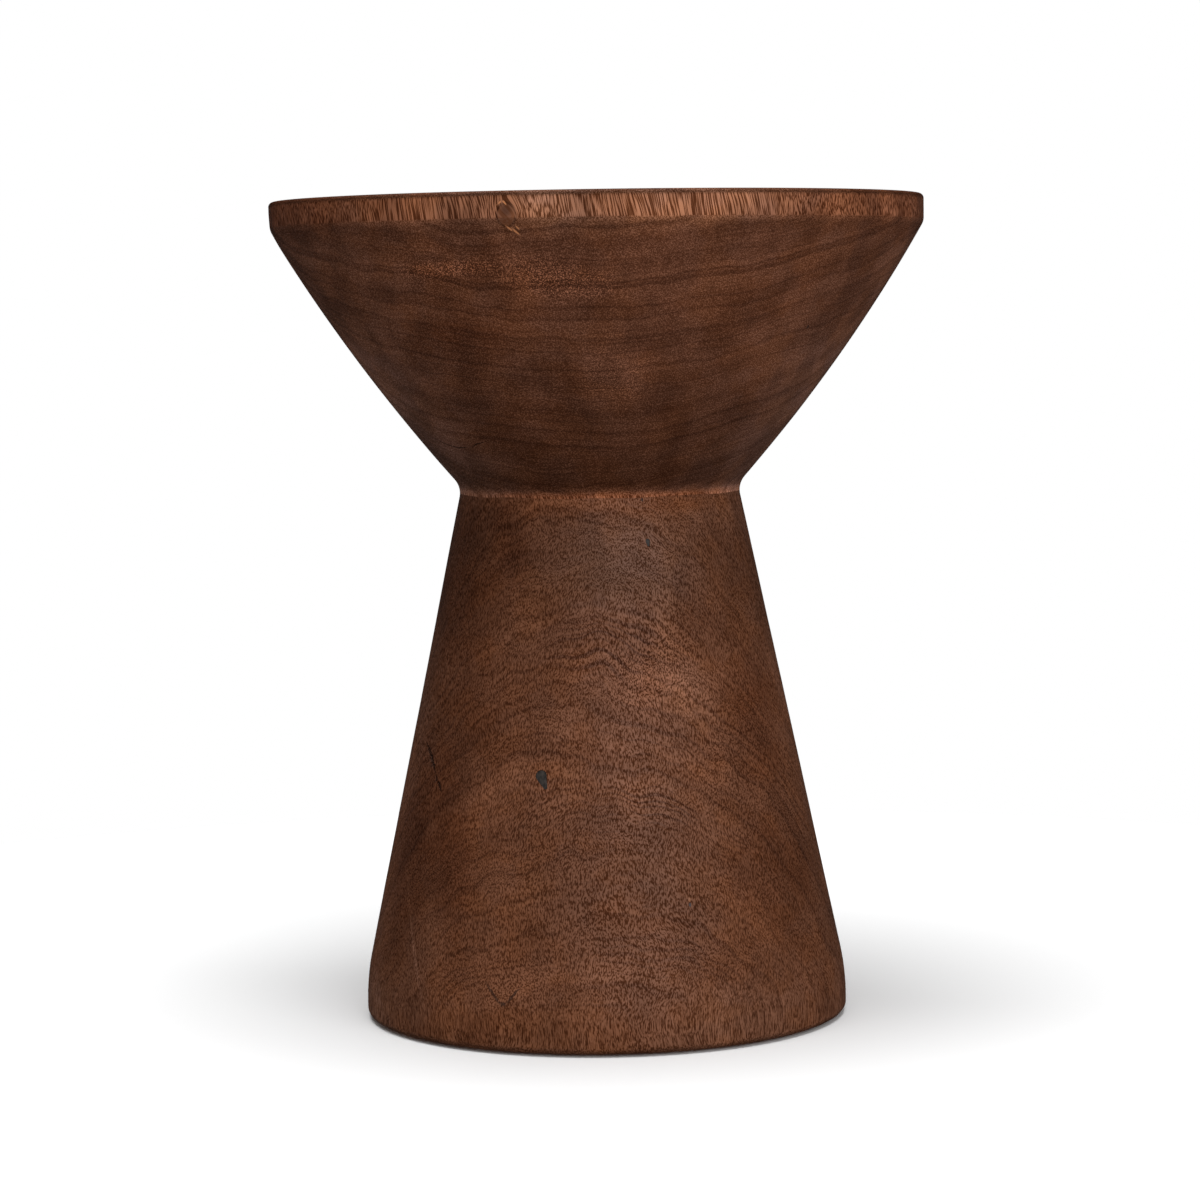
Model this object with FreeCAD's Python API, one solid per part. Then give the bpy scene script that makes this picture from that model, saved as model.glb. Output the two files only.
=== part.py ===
"""Turned hardwood side table: a flared bowl-shaped top block on a conical base block.

Both blocks are turned from upright timber, so the grain runs along the axis, and they meet
at the narrow waist. A loose fluted dowel, glued into a socket in each block, joins them.
Two knot holes in the base are filled flush with dark resin, and thin felt pads under the
base keep it off the floor.

Units are millimetres. The origin is on the floor, on the turning axis, with +Z up and the
photographed side facing -Y.
"""

import FreeCAD
import Part

import math
import os

# Top block: overall height of the table, rim and bowl
table_height = 508.0
rim_radius = 202.0
rim_band_height = 17.0
rim_top_round = 3.0
rim_lower_round = 9.0
bowl_wall_radius = 1040.0

# Waist, where the two blocks meet
waist_radius = 87.0
waist_height = 327.0
waist_round = 13.0

# Base block: swelling foot and hollowed underside
foot_radius = 150.3
foot_swell_height = 9.0
foot_swell_radius = 150.0
foot_edge_round = 5.0
underside_hollow_radius = 112.0
underside_hollow_depth = 4.0

# Loose dowel of the waist joint, and its sockets
dowel_radius = 30.0
dowel_length = 120.0
dowel_chamfer = 3.0
flute_count = 12
flute_radius = 1.6
glue_gap = 0.15
socket_spare_depth = 2.0
socket_mouth_chamfer = 1.5

# Resin fill of the larger knot, on the front of the base
front_knot_azimuth = -18.0
front_knot_height = 163.5
front_knot_width = 6.6
front_knot_length = 11.5
front_knot_tip_radius = 1.1
front_knot_tilt = 24.0
front_knot_depth = 9.0

# Resin fill of the pin knot, just under the waist
pin_knot_azimuth = 17.8
pin_knot_below_waist = 26.0
pin_knot_width = 2.4
pin_knot_length = 4.4
pin_knot_tip_radius = 0.6
pin_knot_tilt = 8.0
pin_knot_depth = 5.0

resin_gap = 0.05

# Felt pads under the base
pad_count = 4
pad_radius = 11.0
pad_thickness = 1.2
pad_first_azimuth = 45.0

# How far a cutting tool runs past the face that it cuts
overrun = 5.0

FULL_TURN = 360.0
AXIS = FreeCAD.Vector(0, 0, 1)
ORIGIN = FreeCAD.Vector(0, 0, 0)


def at(radius, z):
    """A point of a turned profile, at that distance from the axis and that height."""
    return FreeCAD.Vector(radius, 0, z)


def arc_about(centre, start, end):
    """The shorter arc from start to end of the circle about centre."""
    middle = (start - centre) + (end - centre)
    middle.normalize()
    return Part.Arc(start, centre + middle * (start - centre).Length, end).toShape()


def line(start, end):
    return Part.LineSegment(start, end).toShape()


def lines(*points):
    """Straight edges through the points, in order."""
    return [line(a, b) for a, b in zip(points, points[1:])]


def turn(edges):
    """The solid that a closed profile sweeps in one turn about the axis."""
    face = Part.Face(Part.Wire(Part.__sortEdges__(edges)))
    return face.revolve(ORIGIN, AXIS, FULL_TURN)


# Circles that the outline of the two blocks follows

neck_centre = at(waist_radius + waist_round, waist_height)
swell_centre = at(foot_radius - foot_swell_radius, foot_swell_height)
rim_corner = at(rim_radius, table_height - rim_band_height)
waist_edge = at(waist_radius, waist_height)
socket_radius = dowel_radius + glue_gap
socket_mouth_radius = socket_radius + socket_mouth_chamfer
base_socket_depth = dowel_length / 2
top_socket_depth = dowel_length / 2 + socket_spare_depth


def base_wall_normal():
    """Outward normal of the straight cone that touches the foot's swell and the neck's hollow."""
    between = neck_centre - swell_centre
    slope = math.atan2(between.z, between.x)
    turn_back = math.acos((foot_swell_radius + waist_round) / between.Length)
    angle = slope - turn_back
    return at(math.cos(angle), math.sin(angle))


wall_normal = base_wall_normal()
wall_foot = swell_centre + wall_normal * foot_swell_radius
wall_neck = neck_centre - wall_normal * waist_round


def base_wall_radius(z):
    """Radius of the base's straight cone at a height."""
    share = (z - wall_foot.z) / (wall_neck.z - wall_foot.z)
    return wall_foot.x + share * (wall_neck.x - wall_foot.x)


def bowl_wall_centre():
    """Centre of the bowl wall's arc, which touches the neck's hollow and ends at the rim's corner."""
    neck_reach = bowl_wall_radius + waist_round
    between = rim_corner - neck_centre
    span = between.Length
    along = (span**2 + neck_reach**2 - bowl_wall_radius**2) / (2 * span)
    aside = math.sqrt(neck_reach**2 - along**2)
    inward = at(-between.z, between.x) / span
    return neck_centre + between * (along / span) + inward * aside


bowl_centre = bowl_wall_centre()


def rim_lower_centre():
    """Centre of the soft corner between the bowl's wall and the upright rim."""
    x = rim_radius - rim_lower_round
    reach = bowl_wall_radius - rim_lower_round
    return at(x, bowl_centre.z - math.sqrt(reach**2 - (x - bowl_centre.x) ** 2))


def foot_edge_centre():
    """Centre of the eased edge between the foot's swell and the flat underside."""
    z = pad_thickness + foot_edge_round
    reach = foot_swell_radius - foot_edge_round
    return at(swell_centre.x + math.sqrt(reach**2 - (z - swell_centre.z) ** 2), z)


def pushed_out(centre, inner, radius):
    """The point of the circle about centre that lies beyond the inner point."""
    outward = inner - centre
    return centre + outward * (radius / outward.Length)


def make_top_block():
    """Flared top: flat table surface, upright rim, gently swelling bowl wall and dowel socket."""
    corner = rim_lower_centre()
    wall_low = pushed_out(neck_centre, bowl_centre, waist_round)
    wall_high = pushed_out(bowl_centre, corner, bowl_wall_radius)
    rim_low = at(rim_radius, corner.z)
    rim_high = at(rim_radius, table_height - rim_top_round)
    top_edge = at(rim_radius - rim_top_round, table_height)
    socket_end = waist_height + top_socket_depth
    edges = [
        arc_about(neck_centre, waist_edge, wall_low),
        arc_about(bowl_centre, wall_low, wall_high),
        arc_about(corner, wall_high, rim_low),
        line(rim_low, rim_high),
        arc_about(at(top_edge.x, rim_high.z), rim_high, top_edge),
    ]
    edges += lines(
        top_edge,
        at(0, table_height),
        at(0, socket_end),
        at(socket_radius, socket_end),
        at(socket_radius, waist_height + socket_mouth_chamfer),
        at(socket_mouth_radius, waist_height),
        waist_edge,
    )
    return turn(edges)


def make_base_blank():
    """Conical base with its swelling foot, hollowed underside and dowel socket, before the knots."""
    edge = foot_edge_centre()
    edge_low = at(edge.x, pad_thickness)
    edge_high = pushed_out(swell_centre, edge, foot_swell_radius)
    hollow_top = pad_thickness + underside_hollow_depth
    socket_end = waist_height - base_socket_depth
    edges = lines(
        at(0, hollow_top),
        at(underside_hollow_radius, hollow_top),
        at(underside_hollow_radius + underside_hollow_depth, pad_thickness),
        edge_low,
    )
    edges += [
        arc_about(edge, edge_low, edge_high),
        arc_about(swell_centre, edge_high, wall_foot),
        line(wall_foot, wall_neck),
        arc_about(neck_centre, wall_neck, waist_edge),
    ]
    edges += lines(
        waist_edge,
        at(socket_mouth_radius, waist_height),
        at(socket_radius, waist_height - socket_mouth_chamfer),
        at(socket_radius, socket_end),
        at(0, socket_end),
        at(0, hollow_top),
    )
    return turn(edges)


def make_waist_dowel():
    """Loose dowel with chamfered ends and straight glue flutes. It stands on the base socket's floor."""
    low = waist_height - base_socket_depth
    high = low + dowel_length
    dowel = turn(
        lines(
            at(0, low),
            at(dowel_radius - dowel_chamfer, low),
            at(dowel_radius, low + dowel_chamfer),
            at(dowel_radius, high - dowel_chamfer),
            at(dowel_radius - dowel_chamfer, high),
            at(0, high),
            at(0, low),
        )
    )
    flute = Part.makeCylinder(flute_radius, dowel_length + 2 * overrun, at(dowel_radius, low - overrun), AXIS)
    flutes = []
    for step in range(flute_count):
        copy = flute.copy()
        copy.rotate(ORIGIN, AXIS, step * FULL_TURN / flute_count)
        flutes.append(copy)
    return dowel.cut(Part.makeCompound(flutes))


def teardrop(width, length, tip_radius):
    """Outline of a knot hole, in the YZ plane about its rounder end: a round end tapering down to a tip."""
    round_radius = width / 2
    tip = FreeCAD.Vector(0, 0, round_radius + tip_radius - length)
    lean = math.asin((round_radius - tip_radius) / tip.Length)
    side = FreeCAD.Vector(0, math.cos(lean), -math.sin(lean))
    other_side = FreeCAD.Vector(0, -side.y, side.z)
    round_top = FreeCAD.Vector(0, 0, round_radius)
    tip_end = tip - FreeCAD.Vector(0, 0, tip_radius)
    round_ends = [side * round_radius, other_side * round_radius]
    tip_ends = [tip + side * tip_radius, tip + other_side * tip_radius]
    edges = [
        Part.Arc(round_ends[0], round_top, round_ends[1]).toShape(),
        line(round_ends[1], tip_ends[1]),
        Part.Arc(tip_ends[1], tip_end, tip_ends[0]).toShape(),
        line(tip_ends[0], round_ends[0]),
    ]
    return Part.Face(Part.Wire(edges))


def knot_prism(outline, azimuth, height, tilt, depth):
    """The outline driven into the base's wall along its radius, to that depth under the surface."""
    floor_radius = base_wall_radius(height) - depth
    prism = outline.extrude(FreeCAD.Vector(depth + overrun, 0, 0))
    prism.rotate(ORIGIN, FreeCAD.Vector(1, 0, 0), tilt)
    prism.translate(at(floor_radius, height))
    front = -FULL_TURN / 4
    prism.rotate(ORIGIN, AXIS, front + azimuth)
    return prism


def make_knot(blank, azimuth, height, width, length, tip_radius, tilt, depth):
    """The hole of one knot and the resin that fills it flush with the base's surface."""
    hole = knot_prism(teardrop(width, length, tip_radius), azimuth, height, tilt, depth)
    inside = teardrop(width - 2 * resin_gap, length - 2 * resin_gap, tip_radius - resin_gap)
    fill = knot_prism(inside, azimuth, height, tilt, depth).common(blank)
    return hole, fill


def make_pads():
    """Felt pads, in the middle of the flat ring that the base stands on."""
    ring_inner = underside_hollow_radius + underside_hollow_depth
    ring_radius = (ring_inner + foot_edge_centre().x) / 2
    pads = {}
    for step in range(pad_count):
        pad = Part.makeCylinder(pad_radius, pad_thickness, at(ring_radius, 0), AXIS)
        pad.rotate(ORIGIN, AXIS, pad_first_azimuth + step * FULL_TURN / pad_count)
        pads[f"felt_pad_{step + 1}"] = pad
    return pads


def make_parts():
    """Every piece of the table by its name."""
    blank = make_base_blank()
    front_hole, front_fill = make_knot(
        blank,
        front_knot_azimuth,
        front_knot_height,
        front_knot_width,
        front_knot_length,
        front_knot_tip_radius,
        front_knot_tilt,
        front_knot_depth,
    )
    pin_hole, pin_fill = make_knot(
        blank,
        pin_knot_azimuth,
        waist_height - pin_knot_below_waist,
        pin_knot_width,
        pin_knot_length,
        pin_knot_tip_radius,
        pin_knot_tilt,
        pin_knot_depth,
    )
    parts = {
        "top_block": make_top_block(),
        "base_block": blank.cut(front_hole).cut(pin_hole),
        "waist_dowel": make_waist_dowel(),
        "front_knot_fill": front_fill,
        "pin_knot_fill": pin_fill,
    }
    parts.update(make_pads())
    return parts


def main():
    os.makedirs("parts", exist_ok=True)
    for name, shape in make_parts().items():
        solids = shape.Solids
        print(name, "solids", len(solids), "valid", shape.isValid(), "volume", round(shape.Volume, 1))
        solid = solids[0] if len(solids) == 1 else Part.makeCompound(solids)
        solid.exportStep(f"parts/{name}.step")


main()
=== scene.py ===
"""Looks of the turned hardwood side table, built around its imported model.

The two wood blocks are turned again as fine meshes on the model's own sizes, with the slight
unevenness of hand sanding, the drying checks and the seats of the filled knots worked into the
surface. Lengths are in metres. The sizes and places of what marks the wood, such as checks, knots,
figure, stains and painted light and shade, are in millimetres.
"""

import math

import bmesh
import bpy
from mathutils import Matrix, Vector, noise


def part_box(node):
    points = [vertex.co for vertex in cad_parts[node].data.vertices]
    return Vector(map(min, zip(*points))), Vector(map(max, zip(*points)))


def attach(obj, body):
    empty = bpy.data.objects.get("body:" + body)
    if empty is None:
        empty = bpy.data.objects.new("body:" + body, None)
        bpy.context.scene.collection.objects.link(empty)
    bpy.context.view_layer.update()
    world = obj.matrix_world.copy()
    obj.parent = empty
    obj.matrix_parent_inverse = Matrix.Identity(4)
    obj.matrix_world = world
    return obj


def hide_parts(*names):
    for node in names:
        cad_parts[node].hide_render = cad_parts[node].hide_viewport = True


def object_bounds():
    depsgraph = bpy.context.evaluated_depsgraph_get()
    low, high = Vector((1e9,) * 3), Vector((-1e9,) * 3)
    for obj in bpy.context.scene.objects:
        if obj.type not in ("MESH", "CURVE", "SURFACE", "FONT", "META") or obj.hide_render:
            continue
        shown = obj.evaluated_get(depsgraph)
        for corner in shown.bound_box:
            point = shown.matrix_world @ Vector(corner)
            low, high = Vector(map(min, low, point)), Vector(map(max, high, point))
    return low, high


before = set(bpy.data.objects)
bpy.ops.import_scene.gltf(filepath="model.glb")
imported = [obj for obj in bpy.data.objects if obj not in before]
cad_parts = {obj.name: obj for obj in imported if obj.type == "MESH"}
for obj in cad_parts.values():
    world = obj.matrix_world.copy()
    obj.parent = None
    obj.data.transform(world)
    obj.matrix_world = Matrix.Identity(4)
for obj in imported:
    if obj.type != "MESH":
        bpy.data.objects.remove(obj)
cad_low, cad_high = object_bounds()

MM = 0.001
FULL_TURN = 360.0

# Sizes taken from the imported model
table_height = cad_high.z
rim_radius = (cad_high.x - cad_low.x) / 2
waist_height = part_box("base_block")[1].z
pad_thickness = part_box("felt_pad_1")[1].z
foot_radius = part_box("base_block")[1].x
dowel_low, dowel_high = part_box("waist_dowel")

# Sizes of the outline that the boxes don't tell
rim_band_height = 17.0 * MM
rim_top_round = 3.0 * MM
rim_lower_round = 9.0 * MM
bowl_wall_radius = 1040.0 * MM
waist_radius = 87.0 * MM
waist_round = 13.0 * MM
foot_swell_height = 9.0 * MM
foot_swell_radius = 150.0 * MM
foot_edge_round = 5.0 * MM
hollow_radius = 112.0 * MM
hollow_depth = 4.0 * MM
glue_gap = 0.15 * MM
socket_radius = dowel_high.x + glue_gap
socket_spare_depth = 2.0 * MM
socket_mouth_chamfer = 1.5 * MM

# Felt pads
felt_count = 4
felt_round = 0.7 * MM
felt_raggedness = 0.12 * MM
felt_rags_per_metre = 1500.0
felt_step = 0.35 * MM
felt_columns = 128

# Fineness of the turned meshes
columns = 480
row_step = 3.0 * MM
underside_step = 12.0 * MM
round_step = 0.9 * MM
sharp_angle = math.radians(40)

# Camera of the photograph
camera_place = Vector((-0.9, -2271.5, 444.9)) * MM
camera_pitch = math.radians(-4.686)
camera_roll = math.radians(-0.834)
camera_lens = 109.486
camera_sensor = 36.0

# Studio: the floor carries painted shade, darker near the table and paling outwards between two distances,
# and the surroundings light the table softly
floor_radius = 0.9
floor_shade_fade = (0.45, 0.75)
room_light = 0.2
floor_light = 0.5
reflected_light = 0.06
horizon_blend = 0.1
FLOOR_SHADE_COLOURS = ((0.883, 0.885, 0.887, 1.0), (0.97, 0.97, 0.97, 1.0))


# Outline of the two blocks, as points (radius, height)

def arc(centre, start, end, step=round_step):
    """Points on the shorter arc about centre, from start to end, without the start."""
    a = start - centre
    b = end - centre
    turn = a.angle_signed(b)
    count = max(3, math.ceil(abs(turn) * a.length / step))
    return [centre + Matrix.Rotation(-turn * k / count, 2) @ a for k in range(1, count + 1)]


def run(start, end, step=row_step):
    """Points on the straight line from start to end, without the start."""
    count = max(1, math.ceil((end - start).length / step))
    return [start.lerp(end, k / count) for k in range(1, count + 1)]


def beyond(centre, inner, radius):
    """The point of the circle about centre that lies beyond the inner point."""
    return centre + (inner - centre).normalized() * radius


neck_centre = Vector((waist_radius + waist_round, waist_height))
swell_centre = Vector((foot_radius - foot_swell_radius, foot_swell_height))
rim_corner = Vector((rim_radius, table_height - rim_band_height))
waist_edge = Vector((waist_radius, waist_height))


def bowl_wall_centre():
    """Centre of the bowl wall's arc, which touches the neck's hollow and ends at the rim's corner."""
    reach = bowl_wall_radius + waist_round
    between = rim_corner - neck_centre
    span = between.length
    along = (span**2 + reach**2 - bowl_wall_radius**2) / (2 * span)
    aside = math.sqrt(reach**2 - along**2)
    inward = Vector((-between.y, between.x)) / span
    return neck_centre + between * (along / span) + inward * aside


def base_wall_normal():
    """Outward normal of the cone that touches the foot's swell and the neck's hollow."""
    between = neck_centre - swell_centre
    back = math.acos((foot_swell_radius + waist_round) / between.length)
    angle = math.atan2(between.y, between.x) - back
    return Vector((math.cos(angle), math.sin(angle)))


def top_outline():
    """From the middle of the table surface over the rim and down the bowl, then back up the socket."""
    bowl = bowl_wall_centre()
    corner_x = rim_radius - rim_lower_round
    corner_reach = bowl_wall_radius - rim_lower_round
    corner = Vector((corner_x, bowl.y - math.sqrt(corner_reach**2 - (corner_x - bowl.x) ** 2)))
    top_middle = Vector((0, table_height))
    top_edge = Vector((rim_radius - rim_top_round, table_height))
    round_centre = top_edge - Vector((0, rim_top_round))
    rim_high = Vector((rim_radius, round_centre.y))
    rim_low = Vector((rim_radius, corner.y))
    wall_high = beyond(bowl, corner, bowl_wall_radius)
    wall_low = beyond(neck_centre, bowl, waist_round)
    mouth = Vector((socket_radius + socket_mouth_chamfer, waist_height))
    socket_low = Vector((socket_radius, waist_height + socket_mouth_chamfer))
    socket_end = dowel_high.z + socket_spare_depth
    points = [top_middle]
    points += run(top_middle, top_edge)
    points += arc(round_centre, top_edge, rim_high, round_step / 2)
    points += run(rim_high, rim_low)
    points += arc(corner, rim_low, wall_high)
    points += arc(bowl, wall_high, wall_low, row_step)
    points += arc(neck_centre, wall_low, waist_edge)
    points += [mouth, socket_low, Vector((socket_radius, socket_end)), Vector((0, socket_end))]
    return points


def base_outline():
    """From the socket out over the waist, down the cone and round the foot to the underside."""
    normal = base_wall_normal()
    wall_foot = swell_centre + normal * foot_swell_radius
    wall_neck = neck_centre - normal * waist_round
    edge_z = pad_thickness + foot_edge_round
    edge_reach = foot_swell_radius - foot_edge_round
    edge_x = swell_centre.x + math.sqrt(edge_reach**2 - (edge_z - swell_centre.y) ** 2)
    edge = Vector((edge_x, edge_z))
    edge_high = beyond(swell_centre, edge, foot_swell_radius)
    edge_low = Vector((edge.x, pad_thickness))
    ring_inner = Vector((hollow_radius + hollow_depth, pad_thickness))
    hollow_edge = Vector((hollow_radius, pad_thickness + hollow_depth))
    hollow_middle = Vector((0, pad_thickness + hollow_depth))
    socket_high = Vector((socket_radius, waist_height - socket_mouth_chamfer))
    points = [Vector((0, dowel_low.z)), Vector((socket_radius, dowel_low.z)), socket_high]
    points += [Vector((socket_radius + socket_mouth_chamfer, waist_height)), waist_edge]
    points += arc(neck_centre, waist_edge, wall_neck)
    points += run(wall_neck, wall_foot)
    points += arc(swell_centre, wall_foot, edge_high, row_step)
    points += arc(edge, edge_high, edge_low, round_step / 2)
    points += run(edge_low, ring_inner, underside_step)
    points += [hollow_edge]
    points += run(hollow_edge, hollow_middle, underside_step)
    return points


# Unevenness of hand sanding. Lobes are how fast it varies around the table, and waves how fast per metre

sanding_depth = 0.35 * MM
sanding_lobes = 1.4
sanding_waves = 8.0
sanding_fine_depth = 0.06 * MM
sanding_fine_waves = 55.0
crease_wander = 1.1 * MM
crease_reach = 14.0 * MM
crease_lobes = 2.1
crease_seed = 4.0
soft_corner_depth = 0.6 * MM
soft_corner_reach = 7.0 * MM
right_fullness = 0.9 * MM
worked_from_radius = 60.0 * MM
flat_margin = 0.1 * MM


def sanded(point):
    """A surface point moved as hand sanding leaves it. The socket and the flat faces stay true."""
    radius = point.xy.length
    on_flat = point.z > table_height - flat_margin or point.z < pad_thickness + flat_margin
    if on_flat or radius < worked_from_radius:
        return point
    around = point.xy / radius
    lobe_place = Vector((around.x * sanding_lobes, around.y * sanding_lobes, point.z * sanding_waves))
    lobes = noise.noise(lobe_place)
    fine = noise.noise(point * sanding_fine_waves)
    outward = sanding_depth * lobes + sanding_fine_depth * fine
    to_corner = (point.z - rim_corner.y) / soft_corner_reach
    left_side = max(0.0, -around.x) ** 2
    outward -= soft_corner_depth * left_side * math.exp(-to_corner**2)
    if point.z > waist_height:
        up_bowl = (point.z - waist_height) / (rim_corner.y - waist_height)
        right_side = max(0.0, around.x) ** 2
        outward += right_fullness * right_side * max(0.0, math.sin(math.pi * min(up_bowl, 1.0)))
    to_waist = (point.z - waist_height) / crease_reach
    wave = noise.noise(Vector((around.x * crease_lobes, around.y * crease_lobes, crease_seed)))
    upward = crease_wander * wave * math.exp(-to_waist**2)
    moved = around * (radius + outward)
    return Vector((moved.x, moved.y, point.z + upward))


# Places on the turned surface

def towards(azimuth):
    """Level direction at an azimuth in degrees, from the photographed side towards +X."""
    a = math.radians(azimuth)
    return Vector((math.sin(a), -math.cos(a), 0))


def wall_radius(outline, height):
    """Outer radius of a block's outline at a height."""
    best = 0.0
    for a, b in zip(outline, outline[1:]):
        if min(a.y, b.y) <= height <= max(a.y, b.y) and a.y != b.y:
            best = max(best, a.lerp(b, (height - a.y) / (b.y - a.y)).x)
    return best


def on_wall(outline, azimuth, height):
    """The point of a block's outer wall at an azimuth in degrees and a height in metres."""
    place = towards(azimuth) * wall_radius(outline, height)
    place.z = height
    return place


# Drying checks, each a path of (azimuth in degrees, height in mm) with its width and depth in mm

base_checks = [
    {"path": [(-66.8, 176.7), (-63.2, 171.5), (-60.2, 165.9), (-57.4, 159.8)], "width": 3.4, "depth": 5.0},
    {"path": [(-57.0, 158.2), (-54.8, 154.0), (-52.8, 149.4)], "width": 2.4, "depth": 3.5},
]
top_checks = [
    {"path": [(-62.7, 363.9), (-57.0, 359.6), (-51.4, 357.6), (-46.0, 358.4)], "width": 0.7, "depth": 1.5},
    {"path": [(-45.0, 358.0), (-41.5, 360.4), (-36.5, 362.2)], "width": 0.6, "depth": 1.2},
]
check_reach = 3.5 * MM
check_fineness = 0.22 * MM
check_raggedness = 0.35
check_rags_per_metre = 900.0
check_end_share = 0.04
check_taper = 0.6
check_shade_gain = 1.6
refine_passes = 5
refine_narrowing = 0.72

# Filled knots: azimuth and tilt in degrees, height of the round end and sizes of the hole in mm
filled_knots = [
    {"azimuth": -18.0, "height": 163.5, "width": 6.6, "length": 11.5, "tip": 1.1, "tilt": 24.0},
    {"azimuth": 17.8, "height": 301.0, "width": 2.4, "length": 4.4, "tip": 0.6, "tilt": 8.0},
]
knot_seat_depth = 1.5 * MM
knot_seat_spare = 0.12 * MM


def nearest_on(path, point):
    """Distance from a point to a path, and how far along it, from 0 to 1, the nearest place lies."""
    best = None
    for k, (a, b) in enumerate(zip(path, path[1:])):
        along = b - a
        share = max(0.0, min(1.0, (point - a).dot(along) / along.length_squared))
        gap = (a + along * share - point).length
        if best is None or gap < best[0]:
            best = (gap, (k + share) / (len(path) - 1))
    return best


def refine(bm, is_near, reach, fineness):
    """Divides the faces within reach until their edges are short enough, closer in on each pass."""
    for _ in range(refine_passes):
        faces = [f for f in bm.faces if is_near(f.calc_center_median(), reach)]
        edges = {e for f in faces for e in f.edges if e.calc_length() > fineness}
        if not edges:
            return
        bmesh.ops.subdivide_edges(bm, edges=list(edges), cuts=1, use_grid_fill=True)
        reach *= refine_narrowing


def open_check(bm, check_shade_layer, outline, check):
    """Opens one drying check: a narrow groove along its path, widest in the middle, with the painted shade
    inside it marked on the mesh.
    """
    path = [on_wall(outline, azimuth, height * MM) for azimuth, height in check["path"]]
    middle = sum(path, Vector()) / len(path)
    span = max((p - middle).length for p in path)

    def is_near(point, reach):
        return (point - middle).length < span + reach and nearest_on(path, point)[0] < reach

    refine(bm, is_near, check_reach, check_fineness)
    for vert in bm.verts:
        if not is_near(vert.co, check_reach):
            continue
        gap, share = nearest_on(path, vert.co)
        ragged = 1.0 + check_raggedness * noise.noise(vert.co * check_rags_per_metre)
        inner_share = min(max(share, check_end_share), 1.0 - check_end_share)
        opening = math.sin(math.pi * inner_share) ** check_taper
        half = check["width"] * MM / 2 * opening * ragged
        if gap < half:
            sunk = 1.0 - (gap / half) ** 2
            vert[check_shade_layer] = max(vert[check_shade_layer], min(1.0, sunk * check_shade_gain))
            vert.co -= vert.co.xy.to_3d().normalized() * check["depth"] * MM * sunk


def seat_knot(bm, outline, knot):
    """Sinks the wood under a filled knot, so that its resin shows."""
    height = knot["height"] * MM
    centre = on_wall(outline, knot["azimuth"], height)
    outward = towards(knot["azimuth"])
    side = Vector((-outward.y, outward.x, 0))
    tilt = math.radians(knot["tilt"])
    across = side * math.cos(tilt) + Vector((0, 0, math.sin(tilt)))
    down = side * math.sin(tilt) - Vector((0, 0, math.cos(tilt)))
    wide = knot["width"] * MM / 2 + knot_seat_spare
    narrow = knot["tip"] * MM + knot_seat_spare
    run_length = (knot["length"] - knot["width"] / 2 - knot["tip"]) * MM

    def is_near(point, reach):
        return (point - centre).length < knot["length"] * MM + reach

    def inside(point):
        offset = point - centre
        share = max(0.0, min(1.0, offset.dot(down) / run_length))
        x = offset.dot(across)
        y = offset.dot(down) - share * run_length
        return math.hypot(x, y) < wide + (narrow - wide) * share

    refine(bm, is_near, check_reach / 2, check_fineness)
    for vert in bm.verts:
        if is_near(vert.co, 0) and inside(vert.co):
            vert.co -= outward * knot_seat_depth


def turn(bm, outline, count, worked):
    """Adds the surface that an outline leaves when turned about the middle, its points moved by worked."""
    rings = []
    for point in outline:
        if point.x == 0:
            rings.append([bm.verts.new(worked(Vector((0, 0, point.y))))])
            continue
        ring = []
        for k in range(count):
            place = towards(FULL_TURN * k / count) * point.x
            place.z = point.y
            ring.append(bm.verts.new(worked(place)))
        rings.append(ring)
    for upper, lower in zip(rings, rings[1:]):
        for k in range(count):
            n = (k + 1) % count
            if len(upper) == 1:
                bm.faces.new((upper[0], lower[k], lower[n]))
            elif len(lower) == 1:
                bm.faces.new((upper[k], lower[0], upper[n]))
            else:
                bm.faces.new((upper[k], lower[k], lower[n], upper[n]))


def finished(name, bm):
    """The object made of a mesh, with smooth faces and crisp corners."""
    bmesh.ops.recalc_face_normals(bm, faces=bm.faces)
    mesh = bpy.data.meshes.new(name)
    bm.to_mesh(mesh)
    bm.free()
    mesh.shade_smooth()
    mesh.set_sharp_from_angle(angle=sharp_angle)
    piece = bpy.data.objects.new(name, mesh)
    bpy.context.scene.collection.objects.link(piece)
    return piece


def turned_block(name, outline, checks, knots):
    """A block turned from its outline, then sanded, with its checks opened and its knots seated."""
    bm = bmesh.new()
    # Painted shade in the drying checks, as a share from 0 to 1 for each point
    check_shade_layer = bm.verts.layers.float.new("check")
    turn(bm, outline, columns, sanded)
    for check in checks:
        open_check(bm, check_shade_layer, outline, check)
    for knot in knots:
        seat_knot(bm, outline, knot)
    return finished(name, bm)


def felt_disc(name, node):
    """A cut disc of felt with a soft, slightly ragged rim, in the place of a pad of the model."""
    low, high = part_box(node)
    middle = ((low + high) / 2).xy
    radius = (high.x - low.x) / 2 - felt_raggedness
    top_edge = Vector((radius - felt_round, high.z))
    rim_high = Vector((radius, high.z - felt_round))
    rim_low = Vector((radius, low.z + felt_round))
    foot_edge = Vector((radius - felt_round, low.z))
    points = [Vector((0, high.z))]
    points += run(points[0], top_edge)
    points += arc(Vector((top_edge.x, rim_high.y)), top_edge, rim_high, felt_step)
    points += run(rim_high, rim_low, felt_step)
    points += arc(Vector((foot_edge.x, rim_low.y)), rim_low, foot_edge, felt_step)
    points += run(foot_edge, Vector((0, low.z)))

    def ragged(place):
        place = place + middle.to_3d()
        if (place.xy - middle).length < top_edge.x:
            return place
        outward = (place.xy - middle).normalized() * felt_raggedness
        return place + outward.to_3d() * noise.noise(place * felt_rags_per_metre)

    bm = bmesh.new()
    turn(bm, points, felt_columns, ragged)
    return finished(name, bm)


# Materials

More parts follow.
